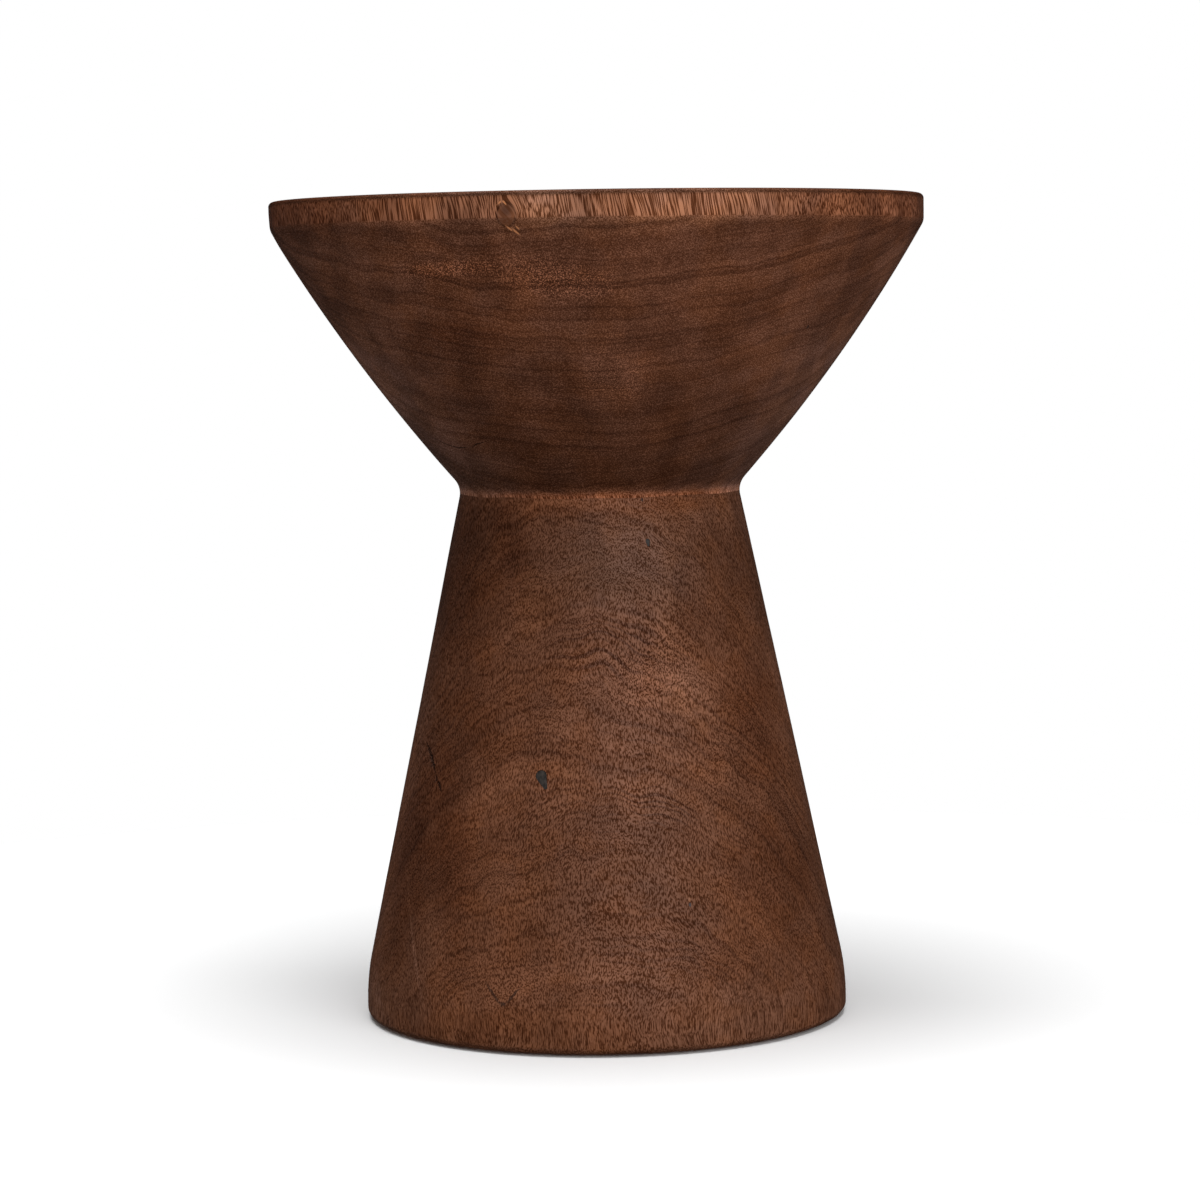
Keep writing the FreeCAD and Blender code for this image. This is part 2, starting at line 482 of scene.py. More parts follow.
class Nodes:
    """Adds the nodes of one material, or of the world, and links them by their sockets."""

    def __init__(self, holder):
        self.holder = holder
        holder.use_nodes = True
        self.tree = holder.node_tree
        self.tree.nodes.clear()

    def feed(self, socket, value):
        """Links a socket, or sets a constant."""
        if isinstance(value, bpy.types.NodeSocket):
            self.tree.links.new(value, socket)
        else:
            socket.default_value = value

    def add(self, kind, inputs, **settings):
        """Adds a node with its inputs and settings."""
        node = self.tree.nodes.new(kind)
        for key, value in settings.items():
            setattr(node, key, value)
        for key, value in inputs.items():
            self.feed(node.inputs[key], value)
        return node

    def math(self, operation, *values):
        """Result of an operation on numbers."""
        node = self.add("ShaderNodeMath", dict(enumerate(values)), operation=operation)
        return node.outputs[0]

    def vector(self, operation, *values):
        """Result of an operation on vectors."""
        node = self.add("ShaderNodeVectorMath", dict(enumerate(values)), operation=operation)
        return node.outputs["Value" if operation in ("LENGTH", "DOT_PRODUCT") else "Vector"]

    def noise(self, place, detail=2.0, roughness=0.5, dimensions="3D"):
        """A noise field over a place whose unit is the size of its features."""
        key = "W" if dimensions == "1D" else "Vector"
        inputs = {key: place, "Scale": 1.0, "Detail": detail, "Roughness": roughness}
        return self.add("ShaderNodeTexNoise", inputs, noise_dimensions=dimensions)

    def step(self, value, low, high, to_low=0.0, to_high=1.0):
        """Smooth step from to_low to to_high as the value goes from low to high."""
        inputs = dict(enumerate((value, low, high, to_low, to_high)))
        return self.add("ShaderNodeMapRange", inputs, interpolation_type="SMOOTHSTEP").outputs[0]

    def mix(self, share, first, second, blend="MIX"):
        """Two colours blended by a share."""
        inputs = {0: share, 6: first, 7: second}
        return self.add("ShaderNodeMix", inputs, data_type="RGBA", blend_type=blend).outputs[2]

    def place(self):
        """Place of the shaded point in mm."""
        metres = self.add("ShaderNodeTexCoord", {}).outputs["Object"]
        return self.vector("MULTIPLY", metres, (1 / MM, 1 / MM, 1 / MM))

    def upright(self, vector):
        """The upright share of a vector."""
        return self.add("ShaderNodeSeparateXYZ", {0: vector}).outputs["Z"]

    def shade(self, **inputs):
        """Finishes the material with a principled shader."""
        sockets = {key.replace("_", " "): value for key, value in inputs.items()}
        shader = self.add("ShaderNodeBsdfPrincipled", sockets)
        self.add("ShaderNodeOutputMaterial", {"Surface": shader.outputs[0]})
        return self.holder


def stretched(nodes, place, across, along):
    """A place in mm, divided by a size across the grain and a size along it."""
    return nodes.vector("MULTIPLY", place, (1 / across, 1 / across, 1 / along))


def wander(nodes, place, across, along, reach, detail):
    """A level shift of up to reach mm that varies over the given sizes."""
    field = nodes.noise(stretched(nodes, place, across, along), detail).outputs["Color"]
    centred = nodes.vector("SUBTRACT", field, (0.5, 0.5, 0.5))
    return nodes.vector("MULTIPLY", centred, (2 * reach, 2 * reach, 0))


# A spot marks its own side alone: how near the middle, in mm, it fades out, and how far off it then counts
spot_fade = 60.0
spot_push = 3.0


def spot_distance(nodes, here, azimuth, height, half_width, half_height, tilt=0.0):
    """Distance from a spot's middle in its own half sizes, and the share of it across the spot."""
    outward = towards(azimuth)
    side = Vector((-outward.y, outward.x, 0))
    lean = math.radians(tilt)
    across = (side * math.cos(lean) + Vector((0, 0, math.sin(lean)))) / half_width
    upward = (Vector((0, 0, math.cos(lean))) - side * math.sin(lean)) / half_height
    offset = nodes.vector("SUBTRACT", here, (0, 0, height))
    x = nodes.vector("DOT_PRODUCT", offset, tuple(across))
    y = nodes.vector("DOT_PRODUCT", offset, tuple(upward))
    facing = nodes.vector("DOT_PRODUCT", here, tuple(outward))
    far_side = nodes.step(facing, spot_fade, 0.0, 0.0, spot_push)
    flat = nodes.math("SQRT", nodes.math("ADD", nodes.math("MULTIPLY", x, x), nodes.math("MULTIPLY", y, y)))
    return nodes.math("ADD", far_side, flat), x


# Powers by which the red, green and blue of a stain, and of painted light, shade and sheen, follow its tone
stain_and_light_powers = (1.0, 1.38, 1.9)


def stain_and_light(tone):
    """Tones of stained wood and of painted light, shade and sheen, darker and redder below 1, paler and
    greyer above it.
    """
    return tuple(tone**power for power in stain_and_light_powers)


def ramp(nodes, value, stops):
    """A colour ramp through the given stops, each a position and a colour."""
    node = nodes.add("ShaderNodeValToRGB", {0: value})
    elements = node.color_ramp.elements
    elements.remove(elements[0])
    elements[0].position, elements[0].color = stops[0]
    for position, colour in stops[1:]:
        elements.new(position).color = colour
    return node.outputs[0]


def tint(nodes, colour, share, tones):
    """The colour times the given tones, by a share from 0 to 1."""
    return nodes.mix(share, colour, (*tones, 1.0), "MULTIPLY")


# Figure of the wood in mm: sizes across the fibres and along them, and how far they push
ring_push_size = (110.0, 170.0)
ring_ripple_size = (17.0, 23.0)
ring_ripple_reach = 1.4
fibre_sweep_size = (140.0, 220.0)
fibre_sweep_reach = 20.0
fibre_swing_size = (60.0, 50.0)
line_zone_size = (55.0, 55.0)
mottle_size = (60.0, 80.0)
patch_size = (24.0, 34.0)
warmth_size = (28.0, 20.0)
dash_width = 0.62

# How the surface slants: 0 where it runs along the fibres and 1 where it cuts across them
tone_slants = (0.06, 0.17, 0.5, 0.95)
line_slants = (0.17, 0.05)
line_dark_slants = (0.14, 0.05)
ring_line_slants = (0.04, 0.15)
fleck_slants = (0.3, 0.55)

# Noise values between which a feature comes in, and its strength
line_zone_limits = (0.36, 0.66)
line_zone_faint = 0.15
line_zone_strong = 0.75
ring_line_limits = (0.48, 0.64)
ring_line_depth = 0.9
line_contrast = 1.35
pore_full = 0.36
fleck_shift = 0.06
band_limits = (0.3, 0.7)
mottle_limits = (0.62, 0.38)
mottle_depth = 0.8
patch_limits = (0.4, 0.62)
warmth_limits = (0.42, 0.6)

# Distances, in a spot's half sizes, between which it comes in, and its strength
line_zone_edge = (1.0, 0.4)
patch_edge = (1.0, 0.15)
fleck_edge = (1.0, 0.2)
knot_parting_edge = (2.6, 0.3)
knot_parting_share = 0.8
knot_pore_edge = (0.8, 1.0)
knot_pore_share = 0.3
knot_edge = (1.15, 0.7)
knot_depth = 0.9
knot_rim_edge = (0.2, 0.04)
knot_rim_depth = 0.5
mark_edge = (1.2, 0.5)
mark_depth = 0.85
mark_raggedness = 1.6

# Tones that a feature multiplies the wood by
BAND_TINT = (0.62, 0.56, 0.5)
MOTTLE_TINT = (1.22, 1.2, 1.16)
PATCH_TINT = (0.72, 0.69, 0.66)
WARM_TINT = (1.0, 0.94, 0.82)
RING_LINE_TINT = (0.45, 0.38, 0.33)
PORE_TINT = (0.22, 0.16, 0.112)
KNOT_TINT = (0.66, 0.62, 0.6)
KNOT_RIM_TINT = (0.3, 0.25, 0.2)
# Painted shade inside the drying checks
CHECK_SHADE_COLOUR = (0.006, 0.004, 0.003, 1.0)

# Finish of the wood: roughness and sheen between the pores and in them, and relief of the grain
wood_roughness = (0.54, 0.66)
wood_sheen = (0.29, 0.04)
sheen_limits = (0.0, 0.8)
grain_depth = 0.1 * MM
grain_strength = 0.5


def growth_rings(nodes, here, place, look):
    """Bands and lines of the growth rings about the pith, pushed out of round."""
    push = wander(nodes, place, *ring_push_size, look["ring_reach"], detail=2.0)
    ripple = wander(nodes, place, *ring_ripple_size, ring_ripple_reach, detail=0.5)
    ring_place = nodes.vector("ADD", nodes.vector("ADD", here, push), ripple)
    from_pith = nodes.vector("SUBTRACT", ring_place, (*look["pith"], 0.0))
    ring = nodes.vector("LENGTH", nodes.vector("MULTIPLY", from_pith, (1, 1, 0)))
    in_bands = nodes.math("DIVIDE", ring, look["band_width"])
    in_lines = nodes.math("DIVIDE", ring, look["line_gap"])
    bands = nodes.noise(in_bands, detail=3.0, roughness=0.65, dimensions="1D").outputs[0]
    lines = nodes.noise(in_lines, detail=2.0, roughness=0.6, dimensions="1D").outputs[0]
    return bands, lines


def dark_ring_lines(nodes, here, place, slant, lines, look):
    """The ring lines, strong in some zones and faint in others, where the surface slants."""
    zone_noise = nodes.noise(stretched(nodes, place, *line_zone_size)).outputs[0]
    zone = nodes.step(zone_noise, *line_zone_limits, line_zone_faint, look["line_depth"])
    for spot in look["line_zones"]:
        distance = spot_distance(nodes, here, *spot)[0]
        strong = nodes.step(distance, *line_zone_edge, 0.0, line_zone_strong)
        zone = nodes.math("MAXIMUM", zone, strong)
    dark = nodes.math("MULTIPLY", nodes.step(lines, *ring_line_limits), zone)
    return nodes.math("MULTIPLY", dark, nodes.step(slant, *ring_line_slants))


def fibre_course(nodes, here, place, height, look):
    """A place among the fibres, which wander as they rise and part round knots, and each knot's distance."""
    sweep = wander(nodes, place, *fibre_sweep_size, fibre_sweep_reach, detail=2.0)
    swing = wander(nodes, place, *fibre_swing_size, look["swing"], detail=2.0)
    lean = nodes.add("ShaderNodeCombineXYZ", {0: nodes.math("MULTIPLY", height, look["lean"])}).outputs[0]
    swings = nodes.vector("ADD", sweep, swing)
    fibre = nodes.vector("ADD", nodes.vector("ADD", place, lean), swings)
    distances = []
    for azimuth, knot_height, half_width, half_height, tilt in look["knots"]:
        distance, across = spot_distance(nodes, here, azimuth, knot_height, half_width, half_height, tilt)
        parting = nodes.step(distance, *knot_parting_edge, 0.0, -knot_parting_share * half_width)
        pull = nodes.math("MULTIPLY", parting, across)
        shove = nodes.add("ShaderNodeCombineXYZ", {0: pull, 1: pull}).outputs[0]
        sideways = tuple(towards(azimuth + FULL_TURN / 4))
        fibre = nodes.vector("ADD", fibre, nodes.vector("MULTIPLY", shove, sideways))
        distances.append(distance)
    return fibre, distances


def open_pores(nodes, fibre, slant, lines, look):
    """Grain and pores: dots and dashes where the surface slants, lines where it runs along the fibres."""
    dash_place = stretched(nodes, fibre, dash_width, look["dash_length"])
    line_place = stretched(nodes, fibre, look["line_width"], look["line_length"])
    dashes = nodes.noise(dash_place, detail=1.0).outputs[0]
    soft_lines = nodes.noise(line_place, detail=1.0).outputs[0]
    crisp_lines = nodes.math("MULTIPLY_ADD", soft_lines, line_contrast, 0.5 - 0.5 * line_contrast)
    along = nodes.step(slant, *line_slants, 0.0, look["line_share"])
    grain = nodes.math("MULTIPLY_ADD", along, nodes.math("SUBTRACT", crisp_lines, dashes), dashes)
    half_row = look["row_depth"] / 2
    shift = nodes.step(slant, *fleck_slants, -half_row, fleck_shift - half_row)
    in_rows = nodes.math("MULTIPLY_ADD", lines, look["row_depth"], shift)
    pores = nodes.step(nodes.math("SUBTRACT", grain, in_rows), look["pore_from"], pore_full)
    return grain, pores


def height_tones_and_shade(nodes, height, look):
    """Tone of the wood by its height on the table, with painted shade near the waist."""
    full_height = table_height / MM
    stops = [(level / full_height, (tone, tone, tone, 1.0)) for level, tone in look["tone_and_shade_levels"]]
    return ramp(nodes, nodes.math("DIVIDE", height, full_height), stops)


def ground_with_stain_and_light(nodes, here, slant, level, look):
    """Wood stained more deeply where the surface cuts across the fibres, with its stained spots and its
    spots of painted light, shade and sheen.
    """
    red, green, blue = look["hue"]
    colours = [(tone * red, tone * green, tone * blue, 1.0) for tone in look["tones"]]
    ground = ramp(nodes, slant, list(zip(tone_slants, colours)))
    ground = nodes.mix(1.0, ground, level, "MULTIPLY")
    for *spot, tones in look["stain_and_light_patches"]:
        distance = spot_distance(nodes, here, *spot)[0]
        ground = tint(nodes, ground, nodes.step(distance, *patch_edge), tones)
    return ground


def figured(nodes, place, ground, bands, dark_lines, look):
    """The ground with the bands, clouds and lines of its figure."""
    mottle = nodes.noise(stretched(nodes, place, *mottle_size), detail=3.0, roughness=0.55).outputs[0]
    patch = nodes.noise(stretched(nodes, place, *patch_size)).outputs[0]
    warmth = nodes.noise(stretched(nodes, place, *warmth_size)).outputs[0]
    ground = tint(nodes, ground, nodes.step(bands, *band_limits, 0.0, look["band_depth"]), BAND_TINT)
    ground = tint(nodes, ground, nodes.step(mottle, *mottle_limits, 0.0, mottle_depth), MOTTLE_TINT)
    ground = tint(nodes, ground, nodes.step(patch, *patch_limits, 0.0, look["patch_depth"]), PATCH_TINT)
    ground = tint(nodes, ground, nodes.step(warmth, *warmth_limits), WARM_TINT)
    return tint(nodes, ground, nodes.math("MULTIPLY", dark_lines, ring_line_depth), RING_LINE_TINT)


def with_pores(nodes, here, slant, ground, pores, knots, look):
    """The ground with its dark pores, fainter in knots, and with light flecks between them."""
    depth = nodes.step(slant, *line_dark_slants, look["dash_dark"], look["line_dark"])
    for distance in knots:
        depth = nodes.math("MULTIPLY", depth, nodes.step(distance, *knot_pore_edge, knot_pore_share, 1.0))
    colour = tint(nodes, ground, nodes.math("MULTIPLY", pores, depth), PORE_TINT)
    between_pores = nodes.math("SUBTRACT", 1.0, pores)
    for *spot, gain in look["flecks"]:
        distance = spot_distance(nodes, here, *spot)[0]
        share = nodes.math("MULTIPLY", nodes.step(distance, *fleck_edge), between_pores)
        colour = tint(nodes, colour, share, (gain, gain, gain))
    return colour


def with_marks(nodes, here, colour, grain, knots, look):
    """The colour with its knots, pin marks and drying checks, which are darkened with painted shade."""
    for distance in knots:
        off_rim = nodes.math("ABSOLUTE", nodes.math("SUBTRACT", distance, 1.0))
        rim = nodes.math("MULTIPLY", nodes.step(off_rim, *knot_rim_edge), knot_rim_depth)
        colour = tint(nodes, colour, nodes.step(distance, *knot_edge, 0.0, knot_depth), KNOT_TINT)
        colour = tint(nodes, colour, rim, KNOT_RIM_TINT)
    ragged = nodes.math("SUBTRACT", grain, 0.5)
    for *spot, mark in look["marks"]:
        smooth = spot_distance(nodes, here, *spot)[0]
        distance = nodes.math("MULTIPLY_ADD", ragged, mark_raggedness, smooth)
        colour = nodes.mix(nodes.step(distance, *mark_edge, 0.0, mark_depth), colour, (*mark, 1.0))
    # Painted shade: the checks go near black as they sink.
    opened = nodes.add("ShaderNodeAttribute", {}, attribute_name="check").outputs["Fac"]
    return nodes.mix(opened, colour, CHECK_SHADE_COLOUR)


def hardwood(name, look):
    """Stained open-pored hardwood with upright fibres, solid through the block, in the given look, with
    painted light, shade and sheen in places.
    """
    nodes = Nodes(bpy.data.materials.new(name))
    here = nodes.place()
    place = nodes.vector("ADD", here, look["shift"])
    height = nodes.upright(here)
    normal = nodes.add("ShaderNodeNewGeometry", {}).outputs["Normal"]
    slant = nodes.math("ABSOLUTE", nodes.upright(normal))
    bands, lines = growth_rings(nodes, here, place, look)
    dark_lines = dark_ring_lines(nodes, here, place, slant, lines, look)
    fibre, knots = fibre_course(nodes, here, place, height, look)
    grain, pores = open_pores(nodes, fibre, slant, lines, look)
    # The height tones hold painted shade near the waist, which also dims the sheen there.
    level = height_tones_and_shade(nodes, height, look)
    ground = ground_with_stain_and_light(nodes, here, slant, level, look)
    ground = figured(nodes, place, ground, bands, dark_lines, look)
    colour = with_pores(nodes, here, slant, ground, pores, knots, look)
    colour = with_marks(nodes, here, colour, grain, knots, look)
    relief = {"Height": grain, "Strength": grain_strength, "Distance": grain_depth}
    sheen = nodes.step(pores, *sheen_limits, *wood_sheen)
    return nodes.shade(
        Base_Color=colour,
        Roughness=nodes.step(pores, 0.0, 1.0, *wood_roughness),
        Normal=nodes.add("ShaderNodeBump", relief).outputs[0],
        Specular_IOR_Level=nodes.math("MULTIPLY", sheen, level),
    )


DARK_MARK = (0.012, 0.009, 0.008)
BROWN_MARK = (0.035, 0.014, 0.008)
ORANGE_MARK = (0.5, 0.2, 0.085)
GREY_MARK = (0.05, 0.05, 0.055)
PALE_MARK = (0.27, 0.12, 0.064)

# Looks of the two blocks, in mm. shift moves the block within its figure, pith is the heart of the rings,
# tones are the depths where the surface runs along the fibres, at the base's cone, at the bowl's wall and
# across the fibres, and levels are tones by height, with painted shade near the waist. A spot is an
# azimuth, a height, half a width and half a height, with a tilt in degrees. Line zones and knots are
# spots. A patch adds its tones to its spot, a fleck its gain and a mark its colour. Most patches are
# stains, and some are painted light, shade and sheen.
top_look = {
    "shift": (310.0, -140.0, 95.0),
    "pith": (5.0, 38.0),
    "ring_reach": 7.0,
    "band_width": 6.0,
    "band_depth": 0.6,
    "patch_depth": 0.9,
    "pore_from": 0.66,
    "dash_length": 0.8,
    "dash_dark": 0.84,
    "line_length": 26.0,
    "line_share": 1.0,
    "line_width": 0.72,
    "line_dark": 1.0,
    "lean": 0.24,
    "swing": 3.0,
    "line_gap": 1.5,
    "line_depth": 0.42,
    "row_depth": 0.02,
    "line_zones": [],
    "hue": (1.0, 0.4, 0.217),
    "tones": (0.375, 0.29, 0.262, 0.17),
    # Tones by height: the dip just over the waist is painted shade under the bowl.
    "tone_and_shade_levels": [
        (327.0, 1.1),
        (329.8, 1.1),
        (331.6, 0.6),
        (345.0, 0.6),
        (410.0, 0.93),
        (505.0, 1.0),
        (506.4, 0.15),
        (507.9, 0.15),
        (507.98, 1.0),
    ],
    "stain_and_light_patches": [
        # Painted shade on the next two: the rim darkens towards its left and right sides.
        (-78.0, 500.0, 190.0, 30.0, 0.0, stain_and_light(0.56)),
        (72.0, 500.0, 150.0, 26.0, 0.0, stain_and_light(0.75)),
        (-36.0, 500.0, 24.0, 20.0, 0.0, stain_and_light(0.88)),
        (-8.0, 500.0, 30.0, 20.0, 0.0, stain_and_light(1.34)),
        (28.0, 500.0, 34.0, 20.0, 0.0, stain_and_light(1.14)),
        # Painted sheen: the rim greyer along its front.
        (0.0, 500.0, 210.0, 22.0, 0.0, (1.04, 1.1, 1.08)),
        (-14.6, 497.0, 6.6, 7.4, 0.0, (0.42, 0.385, 0.37)),
        (10.0, 328.0, 150.0, 4.0, 0.0, (1.05, 0.93, 0.76)),
        (-30.0, 425.0, 45.0, 22.0, 0.0, stain_and_light(0.75)),
        (20.0, 470.0, 40.0, 40.0, 0.0, stain_and_light(1.1)),
        (3.0, 402.0, 30.0, 24.0, 0.0, stain_and_light(1.14)),
        (48.0, 412.0, 60.0, 36.0, 0.0, stain_and_light(1.16)),
        (-56.0, 412.0, 44.0, 36.0, 0.0, stain_and_light(1.16)),
        # Painted light on the next two: the bowl lighter on its left and right sides.
        (-76.0, 370.0, 88.0, 84.0, 0.0, stain_and_light(1.68)),
        (76.0, 370.0, 88.0, 90.0, 0.0, stain_and_light(1.64)),
        (78.0, 460.0, 70.0, 34.0, 0.0, stain_and_light(1.2)),
    ],
    "flecks": [
        (-30.0, 466.0, 84.0, 15.0, 2.0, 1.2),
        (-28.0, 464.5, 42.0, 6.0, 2.0, 2.5),
        (-8.0, 458.0, 46.0, 16.0, -8.0, 2.5),
        (4.0, 402.0, 30.0, 26.0, 0.0, 1.4),
    ],
    "knots": [(-14.6, 494.2, 5.6, 6.6, 0.0)],
    "marks": [
        (-13.3, 484.7, 0.6, 3.2, 46.0, ORANGE_MARK),
        (-14.3, 486.5, 0.55, 2.6, 50.0, ORANGE_MARK),
        (-15.6, 501.4, 0.5, 1.8, -50.0, ORANGE_MARK),
        (-14.9, 501.2, 0.5, 1.6, 48.0, ORANGE_MARK),
        (-12.9, 486.8, 0.45, 1.7, 40.0, ORANGE_MARK),
        (50.2, 427.7, 1.0, 1.1, 0.0, DARK_MARK),
    ],
}
base_look = {
    "shift": (-220.0, 75.0, 410.0),
    "pith": (5.0, 36.0),
    "ring_reach": 7.0,
    "band_width": 6.0,
    "band_depth": 0.55,
    "patch_depth": 0.5,
    "pore_from": 0.62,
    "dash_length": 2.3,
    "dash_dark": 0.89,
    "line_length": 9.0,
    "line_share": 0.6,
    "line_width": 0.52,
    "line_dark": 0.97,
    "lean": 0.0,
    "swing": 9.0,
    "line_gap": 0.85,
    "row_depth": 0.1,
    "line_depth": 0.45,
    "line_zones": [(3.0, 238.0, 52.0, 27.0, 0.0), (14.0, 148.0, 40.0, 18.0, -24.0)],
    "hue": (1.0, 0.39, 0.193),
    "tones": (0.222, 0.224, 0.178, 0.14),
    # Tones by height: the dip below the waist is painted shade under the bowl.
    "tone_and_shade_levels": [
        (0.0, 0.89),
        (60.0, 0.89),
        (110.0, 0.92),
        (160.0, 1.0),
        (210.0, 1.02),
        (275.0, 0.91),
        (322.0, 1.0),
    ],
    "stain_and_light_patches": [
        # Darker down the left side of the cone, in the next three: partly dark figure, partly painted shade.
        (-60.0, 285.0, 66.0, 90.0, 0.0, stain_and_light(0.7)),
        (-62.0, 110.0, 44.0, 90.0, 0.0, stain_and_light(0.59)),
        (-50.0, 192.0, 64.0, 76.0, 0.0, stain_and_light(0.76)),
        (-33.7, 296.0, 20.0, 26.0, 0.0, (0.76, 0.71, 0.68)),
        (-44.0, 110.0, 26.0, 80.0, 14.0, stain_and_light(0.68)),
        (-56.0, 64.0, 2.2, 60.0, 28.0, stain_and_light(1.5)),
        # Painted sheen: the top of the cone greyer on its front.
        (10.0, 287.0, 76.0, 42.0, 0.0, (1.06, 1.24, 1.54)),
        (52.0, 318.0, 44.0, 18.0, 0.0, stain_and_light(1.2)),
        (10.0, 323.0, 150.0, 10.0, 0.0, (1.14, 1.05, 0.9)),
        (-42.0, 314.0, 20.0, 14.0, 0.0, stain_and_light(0.72)),
        (27.0, 208.0, 24.0, 34.0, 0.0, stain_and_light(1.28)),
        (22.5, 266.0, 11.0, 50.0, -6.0, stain_and_light(1.2)),
        (54.0, 190.0, 42.0, 60.0, 0.0, (0.67, 0.6, 0.53)),
        (55.0, 100.0, 66.0, 60.0, 0.0, (0.73, 0.66, 0.58)),
        (34.0, 16.0, 80.0, 30.0, 0.0, stain_and_light(1.24)),
        (-76.0, 14.0, 60.0, 30.0, 0.0, stain_and_light(1.3)),
        (0.0, 10.0, 190.0, 26.0, 0.0, (1.0, 0.97, 0.91)),
    ],
    "flecks": [(14.0, 225.0, 40.0, 40.0, 0.0, 1.3)],
    "knots": [],
    "marks": [
        (16.8, 325.5, 0.8, 1.2, 0.0, DARK_MARK),
        (21.4, 86.8, 0.9, 1.2, 0.0, GREY_MARK),
        (21.3, 90.0, 0.9, 1.3, 0.0, PALE_MARK),
        (-27.1, 35.4, 1.0, 9.0, 42.0, BROWN_MARK),
        (-24.6, 30.4, 2.6, 1.3, 0.0, BROWN_MARK),
        (-22.2, 35.6, 0.9, 7.5, -40.0, BROWN_MARK),
    ],
}


# Figure of the hidden dowel, the resin and the felt in mm, across and along, and their two colours
dowel_fibre_size = (0.8, 30.0)
resin_cloud_size = (2.0, 2.6)
resin_cloud_limits = (0.35, 0.7)
resin_shine_limits = (0.3, 0.7)
resin_roughness = (0.45, 0.6)
felt_fibre_size = (0.4, 0.4)
felt_nap = 0.2 * MM
felt_nap_strength = 0.8
DOWEL_COLOURS = ((0.5, 0.33, 0.19, 1.0), (0.34, 0.2, 0.1, 1.0))
RESIN_COLOURS = ((0.02, 0.017, 0.015, 1.0), (0.05, 0.04, 0.034, 1.0))
FELT_COLOURS = ((0.006, 0.006, 0.006, 1.0), (0.03, 0.028, 0.027, 1.0))


def bare_wood(name):
    """Pale unstained hardwood of the hidden dowel."""
    nodes = Nodes(bpy.data.materials.new(name))
    fine = nodes.noise(stretched(nodes, nodes.place(), *dowel_fibre_size), detail=3.0).outputs[0]
    return nodes.shade(Base_Color=nodes.mix(fine, *DOWEL_COLOURS), Roughness=0.6)


def dark_resin(name):
    """Dark grey filler, cloudy with wood dust and polished with the wood."""
    nodes = Nodes(bpy.data.materials.new(name))
    cloud = nodes.noise(stretched(nodes, nodes.place(), *resin_cloud_size), detail=3.0).outputs[0]
    colour = nodes.mix(nodes.step(cloud, *resin_cloud_limits), *RESIN_COLOURS)
    rough = nodes.step(cloud, *resin_shine_limits, *resin_roughness)
    return nodes.shade(Base_Color=colour, Roughness=rough, Specular_IOR_Level=0.25)


def pressed_felt(name):
    """Black pressed felt with a fibrous mottle."""
    nodes = Nodes(bpy.data.materials.new(name))
    fibre_place = stretched(nodes, nodes.place(), *felt_fibre_size)
    fibres = nodes.noise(fibre_place, detail=4.0, roughness=0.7).outputs[0]
    nap = {"Height": fibres, "Strength": felt_nap_strength, "Distance": felt_nap}
    return nodes.shade(
        Base_Color=nodes.mix(fibres, *FELT_COLOURS),
        Roughness=0.95,
        Normal=nodes.add("ShaderNodeBump", nap).outputs[0],
    )


# Pieces

def place_piece(piece, material, node):
    """Gives a piece its material, hangs it on the root body and hides the part of the model it stands for.
    """
    piece.data.materials.append(material)
    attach(piece, "root")
    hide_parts(node)


def dress_node(name, material):
    """Gives a model's own piece a better material."""
    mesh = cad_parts[name].data
    mesh.materials.clear()
    mesh.materials.append(material)


top_piece = turned_block("top_block_wood", top_outline(), top_checks, [])
base_piece = turned_block("base_block_wood", base_outline(), base_checks, filled_knots)
top_wood = hardwood("top hardwood", top_look)
base_wood = hardwood("base hardwood", base_look)
place_piece(top_piece, top_wood, "top_block")
place_piece(base_piece, base_wood, "base_block")
dress_node("waist_dowel", bare_wood("bare dowel wood"))
resin = dark_resin("dark resin")
dress_node("front_knot_fill", resin)
dress_node("pin_knot_fill", resin)
felt = pressed_felt("pressed felt")
for number in range(1, felt_count + 1):
    pad = f"felt_pad_{number}"
    place_piece(felt_disc(f"felt_disc_{number}", pad), felt, pad)


# Studio

def make_floor():
    """A round pale floor under the table, with painted shade that darkens it near the table, which lights
    the table no more than the room does.
    """
    edge = [towards(FULL_TURN * k / columns) * floor_radius for k in range(columns)]
    mesh = bpy.data.meshes.new("floor")
    mesh.from_pydata([tuple(p) for p in edge], [], [tuple(range(columns))])
    floor = bpy.data.objects.new("floor", mesh)
    bpy.context.scene.collection.objects.link(floor)
    floor.visible_diffuse = False
    floor.visible_glossy = False
    nodes = Nodes(bpy.data.materials.new("pale floor"))
    place = nodes.add("ShaderNodeTexCoord", {}).outputs["Object"]
    # Painted shade: the floor darker near the table, paling outwards.
    outward = nodes.step(nodes.vector("LENGTH", place), *floor_shade_fade)
    mesh.materials.append(nodes.shade(Base_Color=nodes.mix(outward, *FLOOR_SHADE_COLOURS), Roughness=0.9))


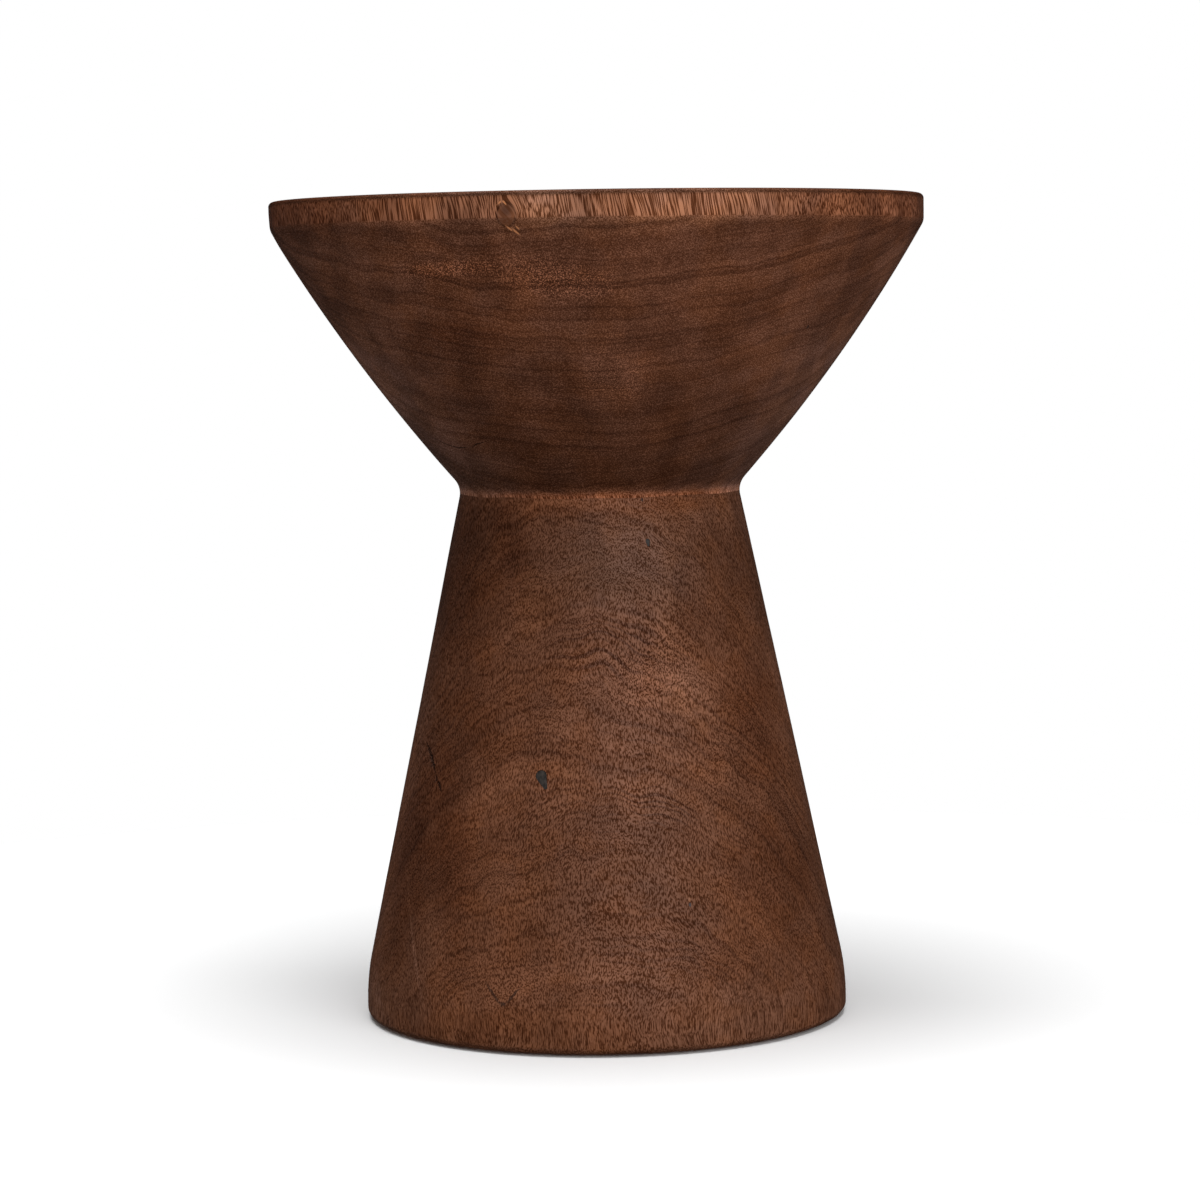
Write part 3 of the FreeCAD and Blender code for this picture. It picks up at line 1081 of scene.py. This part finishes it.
def softbox(name, place, target, width, height, watts):
    """A rectangular soft light aimed at a point."""
    light = bpy.data.lights.new(name, "AREA")
    light.shape = "RECTANGLE"
    light.size = width
    light.size_y = height
    light.energy = watts
    lamp = bpy.data.objects.new(name, light)
    lamp.location = place
    lamp.rotation_mode = "QUATERNION"
    lamp.rotation_quaternion = (Vector(target) - Vector(place)).to_track_quat("-Z", "Y")
    bpy.context.scene.collection.objects.link(lamp)


def make_world():
    """White surroundings behind the table, which light it softly, most from the floor below."""
    world = bpy.data.worlds.new("studio")
    nodes = Nodes(world)
    up = nodes.upright(nodes.add("ShaderNodeTexCoord", {}).outputs["Generated"])
    glow_range = (up, -horizon_blend, horizon_blend, floor_light, room_light)
    glow = nodes.add("ShaderNodeMapRange", dict(enumerate(glow_range))).outputs[0]
    rays = nodes.add("ShaderNodeLightPath", {}).outputs
    shine = nodes.math("MULTIPLY_ADD", rays["Is Glossy Ray"], reflected_light, rays["Is Camera Ray"])
    strength = nodes.math("MULTIPLY_ADD", rays["Is Diffuse Ray"], glow, shine)
    background = nodes.add("ShaderNodeBackground", {"Color": (1, 1, 1, 1), "Strength": strength})
    nodes.add("ShaderNodeOutputWorld", {"Surface": background.outputs[0]})
    bpy.context.scene.world = world


def make_camera():
    """The photograph's viewpoint, a little under the table's top."""
    data = bpy.data.cameras.new("camera")
    data.sensor_width = camera_sensor
    data.lens = camera_lens
    camera = bpy.data.objects.new("camera", data)
    level = Matrix.Rotation(math.pi / 2, 4, "X")
    pitch = Matrix.Rotation(camera_pitch, 4, "X")
    roll = Matrix.Rotation(camera_roll, 4, "Z")
    camera.matrix_world = Matrix.Translation(camera_place) @ pitch @ level @ roll
    bpy.context.scene.collection.objects.link(camera)
    bpy.context.scene.camera = camera


make_floor()
softbox("key", place=(0.9, -2.5, 0.95), target=(0, 0, 0.3), width=2.5, height=1.5, watts=43.3)
softbox("overhead", place=(-0.08, -0.24, 2.6), target=(0, 0, 0), width=2.0, height=2.0, watts=92.0)
make_world()
make_camera()
bpy.context.scene.view_settings.view_transform = "Standard"
